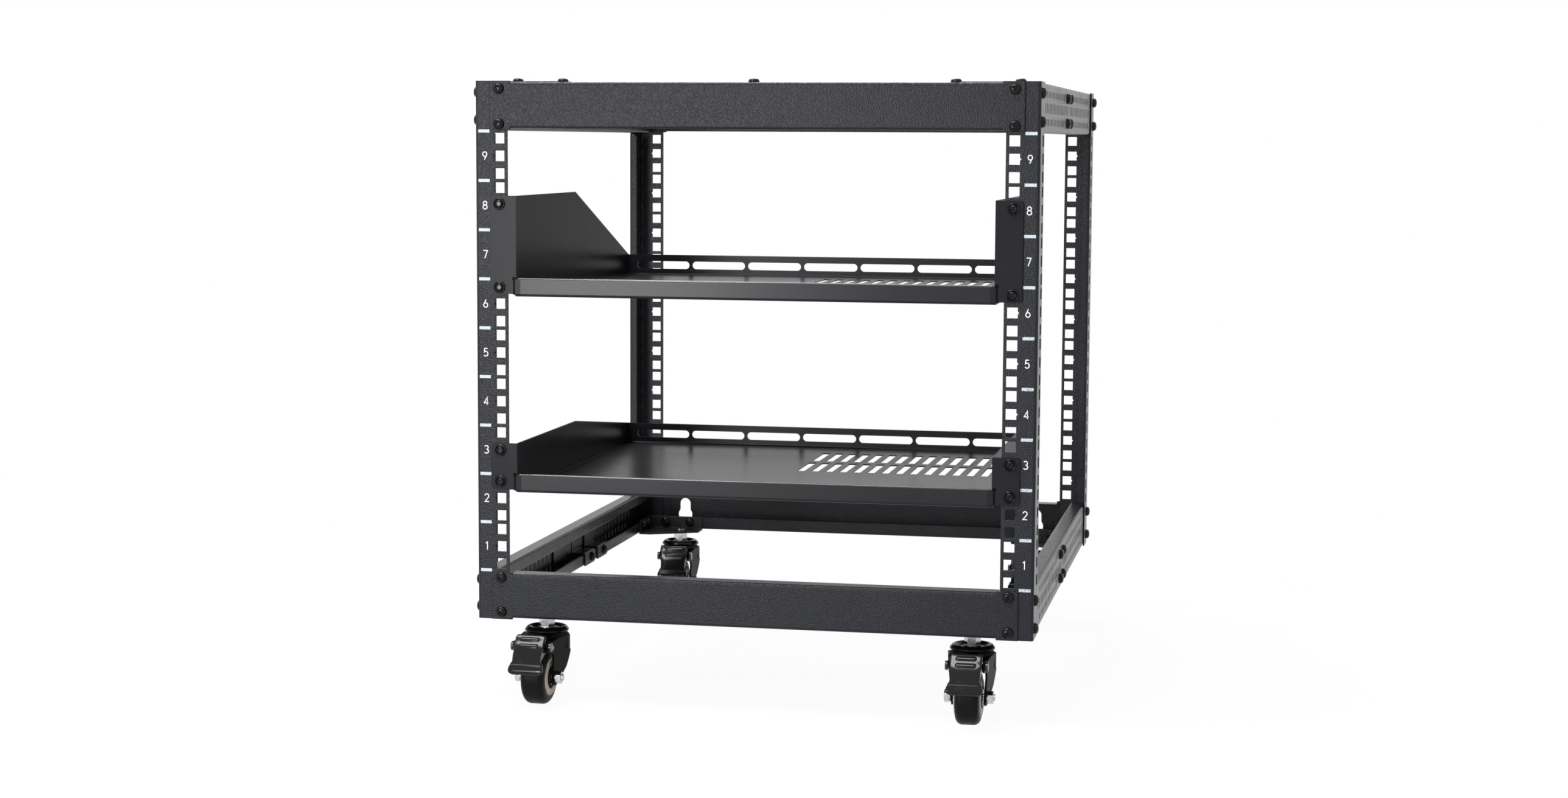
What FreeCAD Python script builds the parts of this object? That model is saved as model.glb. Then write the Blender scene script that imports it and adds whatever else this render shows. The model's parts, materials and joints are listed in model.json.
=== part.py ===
import FreeCAD, Part
import math
import os
import Sketcher

doc = FreeCAD.newDocument("OpenFrameRack")
sheet = doc.addObject("Spreadsheet::Sheet", "Dims")

# Driving dimensions in millimetres.  Z is up from the floor, Y runs from front to rear.
dimensions = [
    ("rack_unit", 44.45), ("unit_count", 9), ("hole_size", 9.5), ("hole_inset", 22.45),
    ("hole_low", 6.35), ("hole_mid", 22.225), ("hole_high", 38.1), ("notch", 1.3),
    ("frame_width", 510), ("frame_depth", 584), ("front_face", -274.4), ("post_margin", 45),
    ("post_height", 490.05), ("post_flange", 30), ("post_side", 35), ("post_lip", 8),
    ("lip_relief", 47), ("sheet", 1.5), ("bend", 2.5), ("inner_bend", 1),
    ("panel_width", 482.6), ("panel_height", 43.66), ("rail_span", 446), ("rail_flange", 16),
    ("rail_lip", 13), ("rail_step", 1.2), ("key_spread", 199), ("key_neck", 6), ("key_bulb", 8),
    ("key_neck_drop", 16), ("key_bulb_drop", 28.5),
    ("side_height", 44), ("side_width", 16), ("side_lip", 11.5), ("seam_depth", 290),
    ("lap_length", 60), ("joggle", 3), ("rail_gap", 2), ("rail_clearance", 0.5), ("seam_gap", 0.4),
    ("slot_pitch", 14), ("slot_width", 4), ("slot_tall", 8.8), ("slot_short", 5.8), ("slot_rise", 12.4),
    ("clip_length", 36), ("clip_gap", 12), ("clip_height", 13.5), ("clip_web", 12),
    ("bracket_long", 62), ("bracket_short", 45), ("bracket_end", 20), ("bracket_nose", 12),
    ("bracket_height", 15), ("bracket_sheet", 2), ("caster_height", 78), ("caster_spread", 198),
    ("caster_inset", 28),
    ("shelf_width", 436), ("shelf_depth", 399), ("shelf_sheet", 1.2), ("shelf_flat", 195),
    ("front_lip", 16), ("back_lip", 21.5), ("ear_reach", 241.3), ("ear_corner", 3),
    ("lower_floor", 72.6), ("lower_ear_low", 75), ("lower_ear_high", 117.4),
    ("upper_floor", 251.2), ("upper_ear_low", 253.5), ("upper_ear_high", 342.1),
    ("lip_slot_long", 56.4), ("lip_slot_tall", 8), ("lip_slot_pitch", 59.6), ("lip_slot_rise", 10.8),
    ("vent_wide", 7.6), ("vent_long", 65), ("vent_pitch", 13.75), ("vent_start", 3),
    ("vent_front", 202), ("vent_rear", 282),
    ("stem_radius", 4), ("nut_flats", 13), ("rivet_height", 1.2), ("cap_radius", 20.4),
    ("cap_drop", 9.5), ("cap_height", 5.9), ("cap_dish", 2.4), ("king_radius", 5), ("king_head", 8),
    ("fork_top", 15.9), ("fork_plate", 2), ("fork_sheet", 1.8), ("fork_inside", 15.4), ("fork_radius", 21.4),
    ("fork_shoulder", 4), ("fork_toe", 6.8), ("fork_splay", 4.3),
    ("trail", 23), ("wheel_radius", 25), ("tyre_width", 22), ("tyre_shoulder", 6), ("hub_radius", 17),
    ("hub_width", 24.2), ("axle_radius", 3), ("axle_seat", 17.2), ("axle_reach", 23.4), ("axle_flats", 10),
    ("pin_radius", 2), ("pin_seat", 16.7), ("pin_reach", 19), ("pin_ahead", 43), ("pin_height", 56.5),
    ("pedal_width", 33), ("pedal_sheet", 1.6), ("rib_width", 18), ("ear_inside", 11.8),
    ("running_gap", 0.08), ("front_left_yaw", -2), ("front_right_yaw", 0.6),
    ("rear_left_yaw", 5), ("rear_right_yaw", -3),
]
for row, (name, size) in enumerate(dimensions, 1):
    sheet.set("A%d" % row, name)
    sheet.set("B%d" % row, str(size))
    sheet.setAlias("B%d" % row, name)
doc.recompute()

base = "(Dims.caster_height + Dims.post_margin)"
left_right = (("left", -1), ("right", 1))
front_rear = (("front", 1), ("rear", -1))
nodes = []


def number(text):
    found = sheet.evalExpression(text)
    return float(getattr(found, "Value", found))


def origin_part(body, role):
    return [item for item in body.Origin.OriginFeatures if item.Role == role][0]


def new_body(label, x="0", y="0", z="0", yaw=0, listed=True):
    body = doc.addObject("PartDesign::Body", "Body_" + label)
    body.Label = label
    body.Placement.Rotation = FreeCAD.Rotation(FreeCAD.Vector(0, 0, 1), yaw)
    for axis, text in zip("xyz", (x, y, z)):
        body.setExpression("Placement.Base." + axis, text)
    if listed:
        nodes.append(body)
    return body


def gather(label, pieces):
    group = doc.addObject("Part::Compound", "Group_" + label)
    group.Label = label
    group.Links = pieces
    nodes.append(group)
    return group


def new_sketch(body, role, offset="0", normal=None):
    sketch = body.newObject("Sketcher::SketchObject", body.Label + "_sketch")
    sketch.AttachmentSupport = [(origin_part(body, role), "")]
    sketch.MapMode = "FlatFace"
    if normal:
        sketch.AttachmentOffset.Rotation = FreeCAD.Rotation(FreeCAD.Vector(0, 0, 1), normal)
    if offset != "0":
        sketch.setExpression("AttachmentOffset.Base.z", offset)
    return sketch


def pin_coordinate(sketch, kind, index, point, text):
    size = number(text)
    if abs(size) < 1e-9:
        axis = -2 if kind == "DistanceX" else -1
        sketch.addConstraint(Sketcher.Constraint("PointOnObject", index, point, axis))
    elif size > 0:
        row = sketch.addConstraint(Sketcher.Constraint(kind, -1, 1, index, point, size))
        sketch.setExpression("Constraints[%d]" % row, text)
    else:
        row = sketch.addConstraint(Sketcher.Constraint(kind, index, point, -1, 1, -size))
        sketch.setExpression("Constraints[%d]" % row, "-(%s)" % text)


def pin_point(sketch, index, point, x, y):
    pin_coordinate(sketch, "DistanceX", index, point, x)
    pin_coordinate(sketch, "DistanceY", index, point, y)


def polygon(sketch, points):
    spots = [FreeCAD.Vector(number(x), number(y), 0) for x, y in points]
    first = sketch.GeometryCount
    count = len(spots)
    for step in range(count):
        sketch.addGeometry(Part.LineSegment(spots[step], spots[(step + 1) % count]))
    for step in range(count):
        following = first + (step + 1) % count
        sketch.addConstraint(Sketcher.Constraint("Coincident", first + step, 2, following, 1))
    for step, (x, y) in enumerate(points):
        pin_point(sketch, first + step, 1, x, y)


def bent_outline(sketch, corners):
    # Square-cornered outline whose marked corners (third entry) are rounded like a sheet bend.
    spots = [FreeCAD.Vector(number(item[0]), number(item[1]), 0) for item in corners]
    radii = [number(item[2]) if len(item) > 2 else 0 for item in corners]
    count = len(spots)
    heading = [(spots[(i + 1) % count] - spots[i]).normalize() for i in range(count)]
    first = sketch.GeometryCount
    for i in range(count):
        start = spots[i] + heading[i] * radii[i]
        end = spots[(i + 1) % count] - heading[i] * radii[(i + 1) % count]
        sketch.addGeometry(Part.LineSegment(start, end))
    for i in range(count):
        upright = abs(heading[i].x) < 1e-6
        sketch.addConstraint(Sketcher.Constraint("Vertical" if upright else "Horizontal", first + i))
        kind = "DistanceX" if upright else "DistanceY"
        pin_coordinate(sketch, kind, first + i, 1, corners[i][0 if upright else 1])
    for i in range(count):
        before = first + (i - 1) % count
        if not radii[i]:
            sketch.addConstraint(Sketcher.Constraint("Coincident", before, 2, first + i, 1))
            continue
        inward = heading[i - 1]
        centre = spots[i] - inward * radii[i] + heading[i] * radii[i]
        left_turn = inward.cross(heading[i]).z > 0
        start, end = spots[i] - inward * radii[i], spots[i] + heading[i] * radii[i]
        if not left_turn:
            start, end = end, start
        angles = [math.atan2(p.y - centre.y, p.x - centre.x) for p in (start, end)]
        if angles[1] < angles[0]:
            angles[1] += 2 * math.pi
        circle = Part.Circle(centre, FreeCAD.Vector(0, 0, 1), radii[i])
        arc = sketch.addGeometry(Part.ArcOfCircle(circle, angles[0], angles[1]))
        ends = (1, 2) if left_turn else (2, 1)
        sketch.addConstraint(Sketcher.Constraint("Tangent", before, 2, arc, ends[0]))
        sketch.addConstraint(Sketcher.Constraint("Tangent", arc, ends[1], first + i, 1))
        row = sketch.addConstraint(Sketcher.Constraint("Radius", arc, radii[i]))
        sketch.setExpression("Constraints[%d]" % row, corners[i][2])


def box_outline(sketch, x_low, x_high, y_low, y_high):
    bent_outline(sketch, [(x_low, y_low), (x_high, y_low), (x_high, y_high), (x_low, y_high)])


def ring(sketch, x, y, radius):
    centre = FreeCAD.Vector(number(x), number(y), 0)
    index = sketch.addGeometry(Part.Circle(centre, FreeCAD.Vector(0, 0, 1), number(radius)))
    pin_point(sketch, index, 3, x, y)
    row = sketch.addConstraint(Sketcher.Constraint("Radius", index, number(radius)))
    sketch.setExpression("Constraints[%d]" % row, radius)


def feature(body, kind, sketch, length, both=False, back=False):
    made = body.newObject("PartDesign::" + kind, body.Label + "_" + kind.lower())
    made.Profile = sketch
    made.setExpression("Length", length)
    made.Reversed = back
    if both:
        made.SideType = "Symmetric"
    return made


def repeat(body, original, axis, span, count, back=False):
    made = body.newObject("PartDesign::LinearPattern", body.Label + "_row")
    made.Originals = [original]
    made.Direction = (origin_part(body, axis), [""])
    made.setExpression("Length", span)
    made.setExpression("Occurrences", count)
    made.Reversed = back
    body.Tip = made
    return made


def mirror(body, originals, plane="YZ_Plane"):
    made = body.newObject("PartDesign::Mirrored", body.Label + "_mirror")
    made.Originals = originals
    made.MirrorPlane = (origin_part(body, plane), [""])
    body.Tip = made
    return made


def revolve(body, sketch, axis):
    made = body.newObject("PartDesign::Revolution", body.Label + "_turned")
    made.Profile = sketch
    made.ReferenceAxis = (origin_part(body, axis), [""])
    made.Angle = 360
    return made


def signed(sign, text):
    return text if sign > 0 else "-(%s)" % text


# Corner posts: a folded section with a front flange, a side flange and a narrow return lip.
def make_post(end, ahead, side, hand):
    inward = -hand
    face = "Dims.front_face" if ahead > 0 else "Dims.front_face + Dims.frame_depth"
    body = new_body("%s_%s_post" % (end, side), signed(hand, "Dims.frame_width / 2"), face,
                    "Dims.caster_height")

    def across(text):
        return signed(inward, text)

    def along(text):
        return signed(ahead, text)

    corners = [("0", "0", "Dims.bend"), ("Dims.post_flange", "0"), ("Dims.post_flange", "Dims.sheet"),
               ("Dims.sheet", "Dims.sheet", "Dims.inner_bend"),
               ("Dims.sheet", "Dims.post_side - Dims.sheet", "Dims.inner_bend"),
               ("Dims.post_lip", "Dims.post_side - Dims.sheet"), ("Dims.post_lip", "Dims.post_side"),
               ("0", "Dims.post_side", "Dims.bend")]
    section = new_sketch(body, "XY_Plane")
    bent_outline(section, [(across(c[0]), along(c[1])) + tuple(c[2:]) for c in corners])
    feature(body, "Pad", section, "Dims.post_height")

    relief = new_sketch(body, "YZ_Plane")
    for low, high in (("-1", "Dims.lip_relief"),
                      ("Dims.post_height - Dims.lip_relief", "Dims.post_height + 1")):
        box_outline(relief, along("Dims.post_side - 2 * Dims.sheet"), along("Dims.post_side + 1"), low, high)
    feature(body, "Pocket", relief, "3 * Dims.post_lip", both=True)

    half = "Dims.hole_size / 2"
    for plane, turn in (("XZ_Plane", across), ("YZ_Plane", along)):
        unit = new_sketch(body, plane)
        for rise in ("hole_low", "hole_mid", "hole_high"):
            middle = "Dims.post_margin + Dims." + rise
            near, far = "Dims.hole_inset - " + half, "Dims.hole_inset + " + half
            low, high = "%s - %s" % (middle, half), "%s + %s" % (middle, half)
            points = [(near, low), (far, low), (far, high), (near, high)]
            if rise == "hole_mid" and plane == "XZ_Plane":
                points += [(near, middle + " + Dims.notch"), (near + " - Dims.notch", middle),
                           (near, middle + " - Dims.notch")]
            polygon(unit, [(turn(x), y) for x, y in points])
        cut = feature(body, "Pocket", unit, "4 * Dims.sheet", both=True)
        repeat(body, cut, "Z_Axis", "Dims.rack_unit * (Dims.unit_count - 1)", "Dims.unit_count")


# Cross rails: one-unit panels on the posts, folded into a channel between them.
def make_cross_rail(end, ahead, level, upward):
    face = "Dims.front_face" if ahead > 0 else "Dims.front_face + Dims.frame_depth"
    centre = "Dims.caster_height + Dims.panel_height / 2"
    if upward < 0:
        centre = "Dims.caster_height + Dims.post_height - Dims.panel_height / 2"
    body = new_body("%s_%s_rail" % (end, level), "0", face, centre)
    edge = "(Dims.panel_height / 2 - Dims.rail_step)"
    inner = "(%s - Dims.sheet)" % edge
    reach = "Dims.rail_flange"
    corners = [("-Dims.sheet", "-" + edge, "Dims.bend"), (reach, "-" + edge, "Dims.bend"),
               (reach, "-%s + Dims.rail_lip" % edge), (reach + " - Dims.sheet", "-%s + Dims.rail_lip" % edge),
               (reach + " - Dims.sheet", "-" + inner, "Dims.inner_bend"),
               ("0", "-" + inner, "Dims.inner_bend"),
               ("0", inner, "Dims.inner_bend"), (reach, inner), (reach, edge),
               ("-Dims.sheet", edge, "Dims.bend")]
    section = new_sketch(body, "YZ_Plane")
    bent_outline(section, [(signed(ahead, c[0]), signed(upward, c[1])) + tuple(c[2:]) for c in corners])
    feature(body, "Pad", section, "Dims.rail_span", both=True)

    tabs = new_sketch(body, "XZ_Plane")
    tall = "Dims.panel_height / 2"
    for hand in (-1, 1):
        box_outline(tabs, signed(hand, "Dims.rail_span / 2 - 1"), signed(hand, "Dims.panel_width / 2"),
                    "-" + tall, tall)
    feature(body, "Pad", tabs, "Dims.sheet", back=ahead < 0)

    if end == "rear":
        top = "Dims.panel_height / 2"
        for hand in (-1, 1):
            keyhole = new_sketch(body, "XZ_Plane")
            ring(keyhole, signed(hand, "Dims.key_spread"), top + " - Dims.key_bulb_drop", "Dims.key_bulb")
            feature(body, "Pocket", keyhole, "6 * Dims.sheet", both=True)
            neck = new_sketch(body, "XZ_Plane")
            ring(neck, signed(hand, "Dims.key_spread"), top + " - Dims.key_neck_drop", "Dims.key_neck")
            feature(body, "Pocket", neck, "6 * Dims.sheet", both=True)
            throat = new_sketch(body, "XZ_Plane")
            box_outline(throat, signed(hand, "Dims.key_spread") + " - Dims.key_neck",
                        signed(hand, "Dims.key_spread") + " + Dims.key_neck",
                        top + " - Dims.key_bulb_drop", top + " - Dims.key_neck_drop")
            feature(body, "Pocket", throat, "6 * Dims.sheet", both=True)


# Side rails: two lipped channels that telescope, the rear one joggled to lie inside the front one.
def channel_outline(sketch, hand, shrink):
    inward = -hand
    tall = "(Dims.side_height / 2 - %s)" % shrink
    low = "(%s)" % shrink
    wide = "(Dims.side_width - %s)" % shrink
    lip = "(%s - Dims.side_lip + %s)" % (tall, shrink)
    corners = [(low, "-" + tall, "Dims.bend"), (wide, "-" + tall, "Dims.bend"), (wide, "-" + lip),
               (wide + " - Dims.sheet", "-" + lip),
               (wide + " - Dims.sheet", "-%s + Dims.sheet" % tall, "Dims.inner_bend"),
               (low + " + Dims.sheet", "-%s + Dims.sheet" % tall, "Dims.inner_bend"),
               (low + " + Dims.sheet", tall + " - Dims.sheet", "Dims.inner_bend"),
               (wide + " - Dims.sheet", tall + " - Dims.sheet", "Dims.inner_bend"),
               (wide + " - Dims.sheet", lip), (wide, lip), (wide, tall, "Dims.bend"),
               (low, tall, "Dims.bend")]
    bent_outline(sketch, [(signed(inward, c[0]),) + tuple(c[1:]) for c in corners])


def make_side_rail(side, hand, level, upward, end):
    centre = "Dims.caster_height + Dims.side_height / 2 + Dims.rail_clearance"
    if upward < 0:
        centre = "Dims.caster_height + Dims.post_height - Dims.side_height / 2 - Dims.rail_clearance"
    body = new_body("%s_%s_rail_%s" % (side, level, end), signed(hand, "Dims.frame_width / 2 - Dims.sheet"),
                    "Dims.front_face", centre)
    if end == "front":
        section = new_sketch(body, "XZ_Plane", "-(Dims.rail_gap)")
        channel_outline(section, hand, "0")
        feature(body, "Pad", section, "Dims.seam_depth - Dims.rail_gap", back=True)
        cut_slots(body, 42, 18, 70, 13)
        return
    section = new_sketch(body, "XZ_Plane", "-(Dims.seam_depth + Dims.seam_gap)")
    channel_outline(section, hand, "0")
    length = "Dims.frame_depth - Dims.rail_gap - Dims.seam_depth - Dims.seam_gap"
    feature(body, "Pad", section, length, back=True)
    tongue = new_sketch(body, "XZ_Plane", "-(Dims.seam_depth - Dims.lap_length)")
    channel_outline(tongue, hand, "Dims.sheet")
    feature(body, "Pad", tongue, "Dims.lap_length + Dims.joggle", back=True)
    cut_slots(body, 308, 17, 336, 14)


# Three rows of slots: a tall one along the middle and two short ones along the edges.
def cut_slots(body, middle_start, middle_count, edge_start, edge_count):
    rows = ((middle_start, middle_count, (("0", "Dims.slot_tall"),)),
            (edge_start, edge_count, (("-Dims.slot_rise", "Dims.slot_short"),
                                      ("Dims.slot_rise", "Dims.slot_short"))))
    for start, count, heights in rows:
        row = new_sketch(body, "YZ_Plane")
        for rise, tall in heights:
            box_outline(row, "%g - Dims.slot_width / 2" % start, "%g + Dims.slot_width / 2" % start,
                        "%s - %s / 2" % (rise, tall), "%s + %s / 2" % (rise, tall))
        cut = feature(body, "Pocket", row, "8 * Dims.sheet", both=True)
        repeat(body, cut, "Y_Axis", "%d * Dims.slot_pitch" % (count - 1), str(count))


# Shelves: shallow trays with tall ears that screw to the front of the posts.
def make_shelf(level):
    floor, ear_low, ear_high = ("Dims.%s_%s" % (level, word) for word in ("floor", "ear_low", "ear_high"))
    body = new_body("%s_shelf" % level, "0", "Dims.front_face", "%s + %s" % (base, floor))
    half = "Dims.shelf_width / 2"
    thick = "Dims.shelf_sheet"
    front = "-Dims.sheet"
    rear = "Dims.shelf_depth - Dims.sheet"
    back = rear + " + " + thick
    tray = new_sketch(body, "YZ_Plane")
    bent_outline(tray, [(front, "Dims.front_lip"), (front, "0", "Dims.bend"), (back, "0", "Dims.bend"),
                        (back, "Dims.back_lip"), (rear, "Dims.back_lip"), (rear, thick, "Dims.inner_bend"),
                        (front + " + " + thick, thick, "Dims.inner_bend"),
                        (front + " + " + thick, "Dims.front_lip")])
    feature(body, "Pad", tray, "Dims.shelf_width", both=True)

    top = "%s - %s" % (ear_high, floor)
    side = new_sketch(body, "YZ_Plane", "%s - %s" % (half, thick))
    polygon(side, [(front, "Dims.bend"), (front + " + Dims.bend", "0"), (back + " - Dims.bend", "0"),
                   (back, "Dims.bend"), (back, "Dims.back_lip"), ("Dims.shelf_flat", top), (front, top)])
    wall = feature(body, "Pad", side, thick)

    ear = new_sketch(body, "XZ_Plane")
    low = "%s - %s" % (ear_low, floor)
    bent_outline(ear, [(half + " - " + thick, low), ("Dims.ear_reach", low, "Dims.ear_corner"),
                       ("Dims.ear_reach", top, "Dims.ear_corner"), (half + " - " + thick, top)])
    ears = feature(body, "Pad", ear, "Dims.sheet")
    mirror(body, [wall, ears])

    slot = new_sketch(body, "XZ_Plane", "-(%s)" % rear)
    start = "-3 * Dims.lip_slot_pitch"
    reach, high = "Dims.lip_slot_long / 2", "Dims.lip_slot_tall / 2"
    bent_outline(slot, [("%s - %s" % (start, reach), "Dims.lip_slot_rise - " + high, high + " - 0.01"),
                        ("%s + %s" % (start, reach), "Dims.lip_slot_rise - " + high, high + " - 0.01"),
                        ("%s + %s" % (start, reach), "Dims.lip_slot_rise + " + high, high + " - 0.01"),
                        ("%s - %s" % (start, reach), "Dims.lip_slot_rise + " + high, high + " - 0.01")])
    cut = feature(body, "Pocket", slot, "6 * " + thick, both=True)
    repeat(body, cut, "X_Axis", "6 * Dims.lip_slot_pitch", "7")

    for begin in ("vent_front", "vent_rear"):
        vent = new_sketch(body, "XY_Plane")
        box_outline(vent, "Dims.vent_start", "Dims.vent_start + Dims.vent_wide", "Dims." + begin,
                    "Dims.%s + Dims.vent_long" % begin)
        opening = feature(body, "Pocket", vent, "6 * " + thick, both=True)
        repeat(body, opening, "X_Axis", "13 * Dims.vent_pitch", "14")


# Clips: small folded plates that tie the lapped channels together inside each side rail.
def make_clip(side, hand, level, upward, place):
    low = "Dims.caster_height + Dims.rail_clearance"
    if upward < 0:
        low = "Dims.caster_height + Dims.post_height - Dims.rail_clearance"
    start = "Dims.front_face + Dims.seam_depth + 6 + %d * (Dims.clip_length + Dims.clip_gap)" % place
    body = new_body("%s_%s_clip_%d" % (side, level, place), signed(hand, "Dims.frame_width / 2 - Dims.sheet"),
                    start, low, listed=False)
    lip, plate = "Dims.side_width", "Dims.clip_height - Dims.sheet"
    corners = [("Dims.sheet", plate), (lip, plate, "0.4"), (lip, "0.2"), (lip + " + Dims.sheet", "0.2"),
               (lip + " + Dims.sheet", "Dims.clip_height", "2"),
               ("2 * Dims.sheet", "Dims.clip_height", "Dims.inner_bend"),
               ("2 * Dims.sheet", "Dims.clip_height + Dims.clip_web"),
               ("Dims.sheet", "Dims.clip_height + Dims.clip_web")]
    section = new_sketch(body, "XZ_Plane")
    bent_outline(section, [(signed(-hand, c[0]), signed(upward, c[1])) + tuple(c[2:]) for c in corners])
    feature(body, "Pad", section, "Dims.clip_length", back=True)
    return body


# Corner brackets: a plate folded up against the rails.  The lower ones carry the caster stems.
def make_bracket(end, ahead, side, hand, level, upward):
    inward = -hand
    face = "Dims.front_face" if ahead > 0 else "Dims.front_face + Dims.frame_depth"
    height = "Dims.caster_height" if upward > 0 else "Dims.caster_height + Dims.post_height"
    body = new_body("%s_%s_%s_bracket" % (end, side, level),
                    signed(hand, "Dims.frame_width / 2 - Dims.sheet - Dims.side_width"),
                    "%s %s Dims.rail_flange" % (face, "+" if ahead > 0 else "-"), height, listed=upward > 0)
    wide, short = "Dims.bracket_long", "Dims.bracket_short"
    tip, nose, thick = "Dims.bracket_end", "Dims.bracket_nose", "Dims.bracket_sheet"

    def spot(x, y):
        return signed(inward, x), signed(ahead, y)

    plate = new_sketch(body, "XY_Plane")
    polygon(plate, [spot("0", "0"), spot(wide, "0"), spot(wide, tip), spot(nose, short), spot("0", short)])
    if upward > 0:
        stem_x = "Dims.frame_width / 2 - Dims.sheet - Dims.side_width - Dims.caster_spread"
        stem_y = "Dims.caster_inset - Dims.rail_flange"
        ring(plate, *spot(stem_x, stem_y), "Dims.stem_radius + 0.25")
    feature(body, "Pad", plate, thick, back=upward < 0)
    flanges = new_sketch(body, "XY_Plane")
    polygon(flanges, [spot("0", "0"), spot(wide, "0"), spot(wide, thick), spot(thick, thick),
                      spot(thick, short), spot("0", short)])
    feature(body, "Pad", flanges, "Dims.bracket_height", back=upward < 0)
    return body


# Casters: a fixed stem and cap under the bracket, and a fork, wheel and brake pedal that swivel below.
class Caster:
    def __init__(self, end, ahead, side, hand):
        self.name = "%s_%s" % (end, side)
        self.turn = "Dims.%s_yaw" % self.name
        self.yaw = number(self.turn)
        self.x = signed(hand, "Dims.caster_spread")
        self.y = "Dims.front_face + Dims.caster_inset"
        if ahead < 0:
            self.y = "Dims.front_face + Dims.frame_depth - Dims.caster_inset"

    def spot(self, ahead):
        x = "%s + (%s) * sin(%s * 1deg)" % (self.x, ahead, self.turn)
        y = "%s - (%s) * cos(%s * 1deg)" % (self.y, ahead, self.turn)
        return x, y

    def body(self, piece, ahead="0", z="0", listed=True):
        x, y = self.spot(ahead)
        return new_body("%s_%s" % (self.name, piece), x, y, z, self.yaw, listed)

    def upright(self, piece, kind, z, **sizes):
        made = doc.addObject("Part::" + kind, "%s_%s" % (self.name, piece))
        for name, text in sizes.items():
            made.setExpression(name, text)
        for axis, text in zip("xyz", (self.x, self.y, z)):
            made.setExpression("Placement.Base." + axis, text)
        return made

    def crosswise(self, piece, kind, ahead, z, offset, **sizes):
        made = doc.addObject("Part::" + kind, "%s_%s" % (self.name, piece))
        for name, text in sizes.items():
            made.setExpression(name, text)
        lay = FreeCAD.Rotation(FreeCAD.Vector(0, 1, 0), 90)
        made.Placement.Rotation = FreeCAD.Rotation(FreeCAD.Vector(0, 0, 1), self.yaw) * lay
        x, y = self.spot(ahead)
        made.setExpression("Placement.Base.x", "%s + (%s) * cos(%s * 1deg)" % (x, offset, self.turn))
        made.setExpression("Placement.Base.y", "%s + (%s) * sin(%s * 1deg)" % (y, offset, self.turn))
        made.setExpression("Placement.Base.z", z)
        return made


def fused(name, pieces):
    made = doc.addObject("Part::MultiFuse", name)
    made.Shapes = pieces
    return made


def make_stem(caster):
    dish = "Dims.caster_height - Dims.cap_drop - Dims.cap_dish"
    corner = "Dims.nut_flats / sqrt(3)"
    washer_height = "1.6"
    rod = caster.upright("rod", "Cylinder", dish, Radius="Dims.stem_radius",
                         Height="Dims.cap_drop + Dims.cap_dish + Dims.bracket_sheet")
    washer = caster.upright("washer", "Cylinder", dish, Radius="Dims.nut_flats / 2 + 1.2",
                            Height=washer_height)
    nut = caster.upright("nut", "Prism", "%s + %s" % (dish, washer_height), Circumradius=corner,
                         Height="Dims.cap_drop + Dims.cap_dish - " + washer_height)
    rivet = caster.upright("rivet", "Cylinder", "Dims.caster_height + Dims.bracket_sheet",
                           Radius="Dims.nut_flats / 2", Height="Dims.rivet_height")
    return fused(caster.name + "_stem", [rod, washer, nut, rivet])


# The dished cap and the king pin below it, whose head holds the fork.
def make_cap(caster):
    body = caster.body("cap", z="Dims.caster_height - Dims.cap_drop - Dims.cap_height", listed=False)
    rim, high = "Dims.cap_radius", "Dims.cap_height"
    dish = high + " - Dims.cap_dish"
    profile = new_sketch(body, "XZ_Plane")
    polygon(profile, [("0", "-5.6"), ("Dims.king_head - 1", "-5.6"), ("Dims.king_head", "-4.6"),
                      ("Dims.king_head", "-2.8"), ("Dims.king_radius", "-2.8"), ("Dims.king_radius", "0.8"),
                      (rim + " - 1.5", "0.8"), (rim + " - 0.3", "1.5"), (rim, "2.4"), (rim + " - 0.3", "3.3"),
                      (rim + " - 2", high + " - 0.7"), (rim + " - 3.4", high),
                      (rim + " - 4.6", high + " - 0.2"), (rim + " - 7.6", dish), ("0", dish)])
    revolve(body, profile, "Z_Axis")
    return body


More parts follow.
